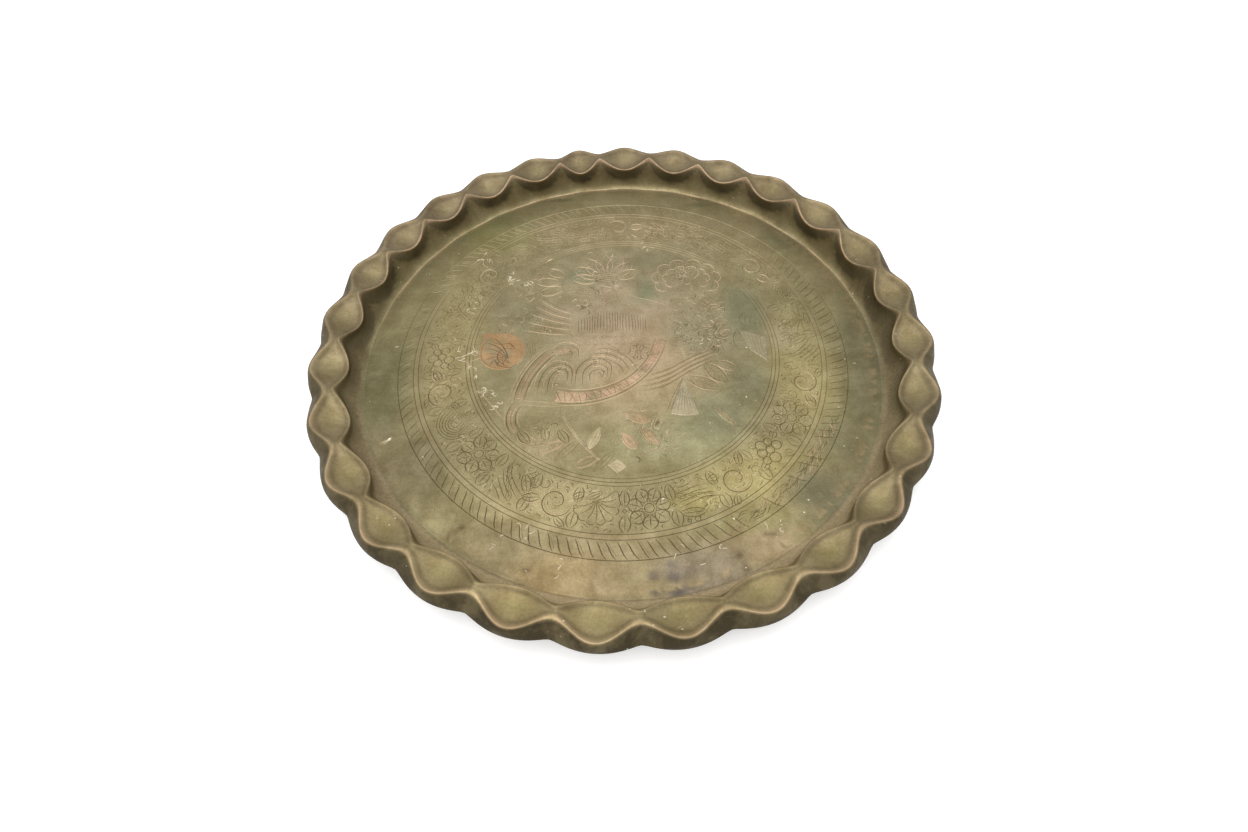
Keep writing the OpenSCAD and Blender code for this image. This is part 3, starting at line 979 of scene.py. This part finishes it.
def spinRim(bm, layers):
    # a straight row of points, one for each line of the section, is spun into a flat ring
    rows = len(beadRows) + len(upperRows) + len(underRows) + 1
    line = [bm.verts.new((1 + k, 0, 0)) for k in range(rows)]
    for a, b in zip(line, line[1:]):
        bm.edges.new((a, b))
    bmesh.ops.spin(bm, geom=bm.verts[:] + bm.edges[:], cent=(0, 0, 0), axis=(0, 0, 1), dvec=(0, 0, 0),
                   angle=2 * pi, steps=columns, use_merge=True, use_duplicate=False)
    bmesh.ops.remove_doubles(bm, verts=bm.verts, dist=1e-3)
    # then every point goes to its own place on the lobes
    for v in bm.verts:
        row = round(hypot(v.co.x, v.co.y)) - 1
        n = round(atan2(v.co.y, v.co.x) / (2 * pi) * columns) % columns
        i, k = divmod(n, rim["steps"])
        f, a = k / rim["steps"], columnAngle(n)
        r, z, v[layers["worn"]], v[layers["grime"]], v[layers["chalk"]] = rimPoint(row, i, f, a)
        v.co = (*polar(r, a), z + rim["floorTop"])
        tint = stainAndLightColour(v.co.x * 0.95, v.co.y * 0.95)
        if row > len(beadRows):
            t = upperRows[min(row - len(beadRows), len(upperRows) - 1)]
            tint = blendPaint(tint, rimTint(i, f, t, a), smooth(t / 0.25))
        v[layers["tint"]] = tint
    for face in bm.faces:
        face.smooth = True


def closeUnderside(bm, layers):
    lowRing = [v for v in bm.verts
               if abs(hypot(v.co.x, v.co.y) - rim["joinR"]) < 0.01 and abs(v.co.z) < 1e-4]
    under = bm.faces.new(sorted(lowRing, key=lambda v: atan2(v.co.y, v.co.x)))
    bmesh.ops.inset_region(bm, faces=[under], thickness=2.0, use_even_offset=True)
    # painted shade: the underside of the floor is darkened
    for v in under.verts:
        v[layers["grime"]] = 0.35


# the engraved floor is laid into the rim's first ring, with pockets for the inlays
def layFloor(bm, layers):
    outer = [polar(rim["joinR"], columnAngle(n)) for n in range(columns)]
    loops = list(outlines.values())
    spots = [(*place, max(reach)) for place, reach, *_ in stainsAndLight if max(reach) < sheetStyle["smallStain"]]
    flat, faces, field = cutSheet(floorGraver.cuts, outer, loops, sheetStyle["lattice"],
                                  rim["joinR"] - sheetStyle["edgeGap"], spots)
    made = []
    for p in flat:
        deep, pale = field.at(p.x, p.y)
        # cuts towards the back are worn shallow and hold less wax
        faint = smooth((p.y - cutStyle["fadeFrom"]) / cutStyle["fadeOver"])
        depth = deep * cutStyle["depth"] * (1 - cutStyle["fadeDepth"] * faint)
        v = bm.verts.new((p.x, p.y, rim["floorTop"] - depth))
        v[layers["groove"]] = deep * (1 - cutStyle["fadeWax"] * faint)
        v[layers["pale"]] = max(pale, cutStyle["fadePale"] * faint)
        v[layers["chalk"]] = 1.0 if pale > 1.5 and deep > 0.05 else 0.0
        v[layers["fine"]] = fineWork(p.x, p.y)
        v[layers["tint"]] = stainAndLightColour(p.x, p.y)
        # painted highlight on the strips between the ring cuts
        if deep < 0.05 and any(a < hypot(p.x - x, p.y) < b for x, a, b in raisedRings):
            v[layers["worn"]] = 0.1
        made.append(v)
    boxes = [loopBox(loop) for loop in loops]
    pocketFaces = []
    for f in faces:
        face = bm.faces.new([made[k] for k in f])
        cx, cy = sum(made[k].co.x for k in f) / len(f), sum(made[k].co.y for k in f) / len(f)
        if any(inBox(box, cx, cy) and insideLoop(loop, cx, cy) for box, loop in zip(boxes, loops)):
            pocketFaces.append(face)
    sunk = bmesh.ops.extrude_face_region(bm, geom=pocketFaces)
    for v in (g for g in sunk["geom"] if isinstance(g, bmesh.types.BMVert)):
        v.co.z = rim["floorTop"] - inlayStyle["thick"]
        v[layers["groove"]] = 1.0
    bmesh.ops.delete(bm, geom=[f for f in pocketFaces if f.is_valid], context="FACES")
    bmesh.ops.delete(bm, geom=[e for e in bm.edges if not e.link_faces], context="EDGES")


def makeDish():
    bm = bmesh.new()
    layers = newLayers(bm)
    spinRim(bm, layers)
    closeUnderside(bm, layers)
    layFloor(bm, layers)
    bmesh.ops.remove_doubles(bm, verts=bm.verts, dist=2e-4)
    bmesh.ops.recalc_face_normals(bm, faces=bm.faces)
    bmesh.ops.delete(bm, geom=[v for v in bm.verts if not v.link_faces], context="VERTS")
    print("stage: dish has", len(bm.faces), "faces,", openEdges(bm), "open edges")
    return finishSheet("dishSheet", bm)


inlayStyle = {"thick": 0.5, "gap": 0.05, "crown": 0.06, "edge": 0.22, "lattice": 2.2, "cutShare": 0.8,
              "edgeWorn": 0.6}


def makeInlay(node, graver, tint):
    loop = shrinkLoop(outlines[node], inlayStyle["gap"])
    crownLoop = shrinkLoop(outlines[node], inlayStyle["gap"] + inlayStyle["edge"])
    box = loopBox(loop)
    near = [c for c in graver.cuts if any(inBox(box, *p) for p in c["points"])]
    flat, faces, field = cutSheet(near, loop, [crownLoop], inlayStyle["lattice"], 0)
    bm = bmesh.new()
    layers = newLayers(bm)
    made = []
    for p in flat:
        deep, pale = field.at(p.x, p.y)
        raised = insideLoop(crownLoop, p.x, p.y) or min(dist(p, q) for q in crownLoop) < 0.02
        crown = inlayStyle["crown"] if raised else 0
        z = rim["floorTop"] + crown - deep * cutStyle["depth"] * inlayStyle["cutShare"]
        v = bm.verts.new((p.x, p.y, z))
        v[layers["groove"]], v[layers["pale"]] = deep, pale
        v[layers["worn"]] = 0.0 if raised else inlayStyle["edgeWorn"]
        v[layers["tint"]] = tint
        made.append(v)
    for f in faces:
        x, y = sum(made[k].co.x for k in f) / 3, sum(made[k].co.y for k in f) / 3
        if insideLoop(loop, x, y):
            bm.faces.new([made[k] for k in f])
    bmesh.ops.delete(bm, geom=[v for v in bm.verts if not v.link_faces], context="VERTS")
    walls = bmesh.ops.extrude_edge_only(bm, edges=[e for e in bm.edges if len(e.link_faces) == 1])
    for v in (g for g in walls["geom"] if isinstance(g, bmesh.types.BMVert)):
        v.co.z = rim["floorTop"] - inlayStyle["thick"]
    bmesh.ops.contextual_create(bm, geom=[e for e in bm.edges if len(e.link_faces) == 1])
    bmesh.ops.recalc_face_normals(bm, faces=bm.faces)
    print("stage:", node, len(bm.faces), "faces,", openEdges(bm), "open edges")
    return finishSheet(node.title().replace("_", "") + "Sheet", bm)


def engraveInlays(g):
    # sash: zigzags and lengthwise lines between two borders
    g.arc(-24, 12, 46.1, -101, -11, width=0.7)
    g.arc(-21, 10, 39.9, -101, -9, width=0.7)
    for k in range(30):
        a = radians(-103 + 3.15 * k)
        b = a + radians((5.4, -2.2, 1.4)[k % 3])
        zigzag = ((39.6, a), (42, mix(a, b, 0.25)), (45, mix(a, b, 0.7)), (47.6, b))
        g.line(*[polar(r, c, -24, 12) for r, c in zigzag], width=0.85)
    for k in range(15):
        a = -99 + 6.1 * k
        g.arc(-24, 12, 43.4 + 1.2 * sin(k * 2.1), a, a + 4.9, width=0.7)
    # patch at the left: bowed petals around one foot
    for k in range(9):
        a = radians(100 + 24 * k)
        g.line((-58, -7), polar(5.5, a, -61, -4), polar(10.6, a + 0.35, -62, -2), width=1.5)
    g.arc(-62, -2, 10.9, 20, 330, width=0.8)
    g.arc(-59, -5, 5.2, 40, 250, width=1.4)
    g.line((-68, 5), (-63, 2.5), (-59, 3.5), (-55, -1), width=1.5)
    g.line((-53, -10), (-57, -12.5), (-63, -11), (-66, -6), width=1.6)
    # ribbons carry one line along the middle and small ticks
    g.arc(-5, -37, 46, 134, 172, width=0.7)
    g.arc(-42, -43, 12, 144, 218, width=0.7)
    for k in range(12):
        a, b = radians(135 + 3.2 * k), radians(136.2 + 3.2 * k)
        g.line(polar(44.9, a, -5, -37), polar(47.1, b, -5, -37), width=0.6)
    for foot, tip, wide, ribs in (((-37, -4), (-26, -1), 4.0, 3), ((-1, -53), (6, -62), 5.4, 3),
                                  ((8, -50), (16, -60), 4.6, 3), ((0, -42), (13, -47), 5.4, 4),
                                  ((43, -39), (54, -51), 3.0, 4), ((-11, -49), (-17, -62), 4.4, 3)):
        g.leaf(foot, tip, wide * 0.8, ribs=ribs, width=0.7)
    # fan, wedge and bud
    for k in range(7):
        a = radians(-107 + 5 * k)
        g.line(polar(4, a, 30, -22), polar(20.6, a, 30, -22), width=0.6)
    for k in range(5):
        g.line((63.5 + k * 2.1, 7 - k * 0.6), (66.2 + k * 1.5, -4 - k * 0.9), width=0.6)
    g.line((-6.5, -70), (-3.5, -69), (-0.5, -70.6), width=0.6)
    # twig
    g.arc(51, -3.5, 89, 207, 224.5, width=0.5)


inlayGraver = Graver()
engraveInlays(inlayGraver)

inlayTones = {
    "sash_tail": (190, 163, 135), "sash_middle": (200, 172, 142), "sash_head": (194, 165, 137),
    "petal_patch": (172, 140, 102), "ribbon_upper": (160, 139, 110), "ribbon_lower": (160, 140, 110),
    "ribbon_tip": (182, 158, 130), "bloom_left": (186, 160, 130), "bloom_right": (176, 154, 122),
    "bloom_top": (186, 162, 130), "twig": (172, 158, 126), "fan_leaf": (176, 166, 140),
    "wedge_leaf": (156, 147, 120), "slim_leaf": (144, 133, 102), "bud": (172, 158, 128),
    "twig_leaf": (190, 176, 142),
}
sheets = {"dish": makeDish()}
for node in inlayNodes:
    sheets[node] = makeInlay(node, inlayGraver, paint(*inlayTones[node]))


# finishes
class NodeBench:  # short names for the nodes that a finish or the sky is wired from
    def __init__(self, tree):
        self.tree = tree
        tree.nodes.clear()
        self.places = self.add("TexCoord").outputs
        self.colour = None

    def add(self, kind, inputs=(), **values):
        node = self.tree.nodes.new("ShaderNode" + kind)
        for key, value in values.items():
            setattr(node, key, value)
        for key, value in dict(inputs).items():
            if isinstance(value, bpy.types.NodeSocket):
                self.tree.links.new(value, node.inputs[key])
            else:
                node.inputs[key].default_value = value
        return node

    def noise(self, scale, detail=3.0, rough=0.55, stretch=(1, 1, 1), twist=0.0, offset=(0, 0, 0)):
        spot = self.add("Mapping", {"Scale": stretch, "Location": offset, "Vector": self.places["Object"]})
        return self.add("TexNoise", {"Vector": spot.outputs["Vector"], "Scale": scale, "Detail": detail,
                                     "Roughness": rough, "Distortion": twist}).outputs["Fac"]

    def ramp(self, value, low, high, fromV=0.0, toV=1.0, kind="LINEAR"):
        return self.add("MapRange", {"Value": value, "From Min": low, "From Max": high, "To Min": fromV,
                                     "To Max": toV}, clamp=True, interpolation_type=kind).outputs["Result"]

    def calc(self, kind, a, b=0.0):
        return self.add("Math", {0: a, 1: b}, operation=kind).outputs[0]

    def times(self, a, b):
        return self.calc("MULTIPLY", a, b)

    def lay(self, much, ink, kind="MIX"):  # a coat of colour over what is there
        self.colour = self.add("Mix", {"Factor": much, 6: self.colour, 7: ink}, data_type="RGBA",
                               blend_type=kind).outputs[2]

    def layer(self, name, output="Fac"):
        return self.add("Attribute", attribute_name=name).outputs[output]

    def bump(self, height, strength, distance, below=None):
        inputs = {"Strength": strength, "Distance": distance, "Height": height}
        if below is not None:
            inputs["Normal"] = below
        return self.add("Bump", inputs).outputs["Normal"]


def agedMetal(name, look):
    material = bpy.data.materials.new(name)
    material.use_nodes = True
    b = NodeBench(material.node_tree)
    worn, grime = b.layer("worn"), b.layer("grime")
    groove, pale = b.layer("groove"), b.layer("pale")
    b.colour = b.layer("tint", "Color")
    # an inlay has worn through to the sheet's colour in patches
    thin = b.ramp(b.noise(140, 4, 0.62, offset=(0.1, 0.8, 0)), 0.45, 0.62, 0, look["wornThrough"])
    b.lay(thin, look["sheetTone"])
    # broad cloudy toning, mottling, fine grain and streaks of wiping
    clouds = b.noise(look["clouds"], 4, 0.6, twist=0.6)
    mottle = b.noise(look["mottle"], 5, 0.65, twist=0.3, offset=(0.3, 0.1, 0))
    grain = b.noise(look["grain"], 3, 0.6)
    streaks = b.noise(60, 3, 0.55, stretch=(1, 8, 1), offset=(0, 0.3, 0))
    b.lay(b.ramp(clouds, 0.42, 0.72, 0, look["toning"]), look["toned"])
    b.lay(b.ramp(mottle, 0.35, 0.62, look["mottling"], 0), look["shade"], "MULTIPLY")
    b.lay(b.ramp(mottle, 0.52, 0.75, 0, look["lifting"]), look["lift"], "SCREEN")
    b.lay(b.ramp(grain, 0.35, 0.6, 0.3, 0), look["shade"], "MULTIPLY")
    b.lay(b.ramp(streaks, 0.4, 0.7, 0, look["streaks"]), look["shade"], "MULTIPLY")
    # fine engraving, half worn away: thin dark and light lines that follow each other round
    swirl = b.times(b.noise(look["swirls"], 2, 0.45, twist=1.2, offset=(0.9, 0.2, 0)), look["swirlLines"])
    fine = b.times(b.layer("fine"), b.ramp(b.noise(55, 3, 0.6, offset=(0.5, 0.6, 0)), 0.4, 0.56, 0.1, 1))
    for shift, ink, much in ((0.0, look["cut"], 0.6), (0.3, look["paleCut"], 0.45)):
        wave = b.calc("ABSOLUTE", b.calc("SUBTRACT", b.calc("FRACT", b.calc("ADD", swirl, shift)), 0.5))
        b.lay(b.times(fine, b.ramp(wave, 0.13, 0.02, 0, much)), ink)
    # painted shade in the hollows, on the skirt and the underside; metal rubbed bare on the ridges, with a
    # painted highlight there
    shadeAndDirt = b.times(grime, b.ramp(mottle, 0.3, 0.62, 1.1, 0.75))
    b.lay(b.ramp(shadeAndDirt, 0.02, 1, 0, 1), look["grime"])
    rubAndHighlight = b.times(worn, b.ramp(b.noise(150, 4, 0.7, offset=(0, 0.4, 0.2)), 0.36, 0.58, 0.3, 1))
    b.lay(b.ramp(rubAndHighlight, 0, 1, 0, look["rubbing"]), look["bare"])
    # cuts hold dark wax, a pale edge where they are rubbed, or lime
    limed = b.ramp(pale, 1.2, 1.9)
    b.lay(b.ramp(groove, 0.12, 0.8, 0, look["cutDark"]), look["cut"])
    b.lay(b.times(b.ramp(groove, 0.05, 0.4), b.ramp(pale, 0.1, 0.9, 0, 0.95)), look["paleCut"])
    b.lay(b.times(b.ramp(groove, 0.02, 0.3), limed), look["speck"])
    # painted light brightening the coves at the front; on the floor the same layer only makes lime flecks
    # duller
    chalk = b.times(b.layer("chalk"), b.ramp(grain, 0.3, 0.6, 0.55, 1))
    b.lay(b.times(b.times(chalk, b.calc("SUBTRACT", 1.0, limed)), 0.8), look["chalk"])
    # specks of lime and dark pits
    speck = b.times(b.ramp(b.noise(420, 2, 0.5), 0.735, 0.75), b.ramp(b.noise(26, 2, 0.5), 0.52, 0.6))
    b.lay(b.times(speck, 0.85), look["speck"])
    b.lay(b.ramp(b.noise(640, 2, 0.5, offset=(0.7, 0.2, 0.4)), 0.26, 0.22, 0, 0.45), look["grime"])
    # fine wiping scratches both ways
    across = b.ramp(b.noise(260, 2, 0.5, stretch=(1, 22, 1)), 0.66, 0.74)
    along = b.ramp(b.noise(240, 2, 0.5, stretch=(18, 1, 1), offset=(0.2, 0.5, 0)), 0.67, 0.75)
    b.lay(b.times(b.calc("MAXIMUM", across, along), look["scratch"]), look["bare"])
    rough = b.ramp(mottle, 0.3, 0.7, look["rough"] + 0.09, look["rough"] - 0.09)
    for much, part in ((0.22, grime), (-0.08, rubAndHighlight), (0.25, chalk)):
        rough = b.calc("ADD", rough, b.times(part, much))
    shine = b.ramp(shadeAndDirt, 0, 1, look["metallic"], look["metallic"] * 0.3)
    metallic = b.times(shine, b.ramp(chalk, 0, 1, 1, 0.1))
    normal = None
    for height, strength, distance in ((b.noise(34, 2, 0.5), 0.35, 0.0012), (mottle, 0.25, 0.0002),
                                       (grain, 0.22, 0.00008)):
        normal = b.bump(height, strength, distance, normal)
    shader = b.add("BsdfPrincipled", {"Base Color": b.colour, "Metallic": metallic, "Roughness": rough,
                                      "Normal": normal, "Specular IOR Level": 0.3})
    b.add("OutputMaterial", {"Surface": shader.outputs["BSDF"]})
    return material


brassLook = {
    "clouds": 17, "mottle": 85, "grain": 900,   # how fine each pattern is
    "toning": 0.3, "toned": paint(142, 136, 98), "mottling": 0.5, "shade": paint(196, 186, 160),
    "lifting": 0.08, "lift": paint(150, 132, 96), "grime": paint(56, 47, 25),
    "rubbing": 0.85, "bare": paint(190, 160, 130), "chalk": paint(198, 178, 142),
    "cutDark": 0.52, "cut": paint(78, 66, 38), "paleCut": paint(206, 182, 150), "speck": paint(216, 208, 186),
    "scratch": 0.10, "streaks": 0.13, "swirls": 62, "swirlLines": 26, "rough": 0.46, "metallic": 0.7,
    "wornThrough": 0.0, "sheetTone": paint(150, 140, 110),
}
copperLook = dict(brassLook, toning=0.2, toned=paint(168, 146, 116), mottling=0.5, cut=paint(98, 74, 54),
                  cutDark=0.75, bare=paint(206, 176, 146), rough=0.44, wornThrough=0.75)
silverLook = dict(brassLook, toning=0.25, toned=paint(158, 150, 120), mottling=0.4, cut=paint(96, 88, 66),
                  bare=paint(210, 200, 176), rough=0.42, metallic=0.75, wornThrough=0.5)
finishes = {"tray_brass": agedMetal("trayBrass", brassLook),
            "inlay_copper": agedMetal("inlayCopper", copperLook),
            "inlay_silver": agedMetal("inlaySilver", silverLook)}
silverNodes = ("fan_leaf", "wedge_leaf", "slim_leaf", "bud", "twig_leaf")
for node, piece in sheets.items():
    slot = "tray_brass" if node == "dish" else "inlay_silver" if node in silverNodes else "inlay_copper"
    piece.data.materials.append(finishes[slot])
    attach(piece, "root")
    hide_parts(node)
print("stage: finishes")


# surroundings
studio = {
    "floorSize": 30.0, "floorColour": (0.86, 0.86, 0.86, 1.0), "floorGlow": 0.3,
    "skyLow": 0.95, "skyHigh": 1.42, "skyFrom": 0.35, "skyTo": 0.95,   # brightness against height in the sky
    "lampSize": 1.6, "lampPlace": (-0.25, -0.1, 1.5), "lampPower": 12.0,
}


def makeFloor():
    bm = bmesh.new()
    bmesh.ops.create_grid(bm, x_segments=2, y_segments=2, size=studio["floorSize"] / 2)
    bmesh.ops.translate(bm, verts=bm.verts, vec=(0, 0, -0.1 * mm))
    piece = finishPiece("studioFloor", bm)
    material = bpy.data.materials.new("plainPaper")
    material.use_nodes = True
    shader = material.node_tree.nodes["Principled BSDF"]
    for key, value in (("Base Color", studio["floorColour"]), ("Roughness", 0.9),
                       ("Emission Color", studio["floorColour"]), ("Emission Strength", studio["floorGlow"])):
        shader.inputs[key].default_value = value
    piece.data.materials.append(material)


def makeLight():
    world = bpy.data.worlds.new("softStudio")
    bpy.context.scene.world = world
    world.use_nodes = True
    b = NodeBench(world.node_tree)
    height = b.add("SeparateXYZ", {"Vector": b.places["Generated"]}).outputs["Z"]
    glow = b.ramp(height, *[studio[key] for key in ("skyFrom", "skyTo", "skyLow", "skyHigh")], "SMOOTHSTEP")
    sky = b.add("Background", {"Strength": glow})
    b.add("OutputWorld", {"Surface": sky.outputs["Background"]})
    lamp = bpy.data.lights.new("overheadSoftbox", "AREA")
    lamp.shape = "SQUARE"
    lamp.size = studio["lampSize"]
    lamp.energy = studio["lampPower"]
    holder = bpy.data.objects.new("overheadSoftbox", lamp)
    holder.location = studio["lampPlace"]
    bpy.context.scene.collection.objects.link(holder)


view = {"place": (0.0, -0.1902, 0.2278), "lens": 16.34, "roll": -0.0228, "tiltX": 0.0004, "tiltY": -0.1244}


def makeCamera():
    camera = bpy.data.cameras.new("studioCamera")
    camera.lens = view["lens"]
    camera.sensor_width = 36.0
    camera.clip_start = 0.01
    camera.clip_end = 50.0
    holder = bpy.data.objects.new("studioCamera", camera)
    # it looks at the middle of the floor's top, then tips a little down and rolls
    place = Vector(view["place"])
    ahead = (Vector((0, 0, 0.0012)) - place).normalized()
    side = Vector((1, 0, 0))
    ahead = (ahead + view["tiltX"] * side + view["tiltY"] * side.cross(ahead)).normalized()
    side = ahead.cross(Vector((0, 0, 1))).normalized()
    above = side.cross(ahead)
    c, s = cos(view["roll"]), sin(view["roll"])
    sideR, aboveR = c * side + s * above, c * above - s * side
    holder.matrix_world = Matrix((sideR, aboveR, -ahead)).transposed().to_4x4()
    holder.location = place
    bpy.context.scene.collection.objects.link(holder)
    bpy.context.scene.camera = holder


makeFloor()
makeLight()
makeCamera()
bpy.context.scene.view_settings.view_transform = "Standard"
print("stage: surroundings")
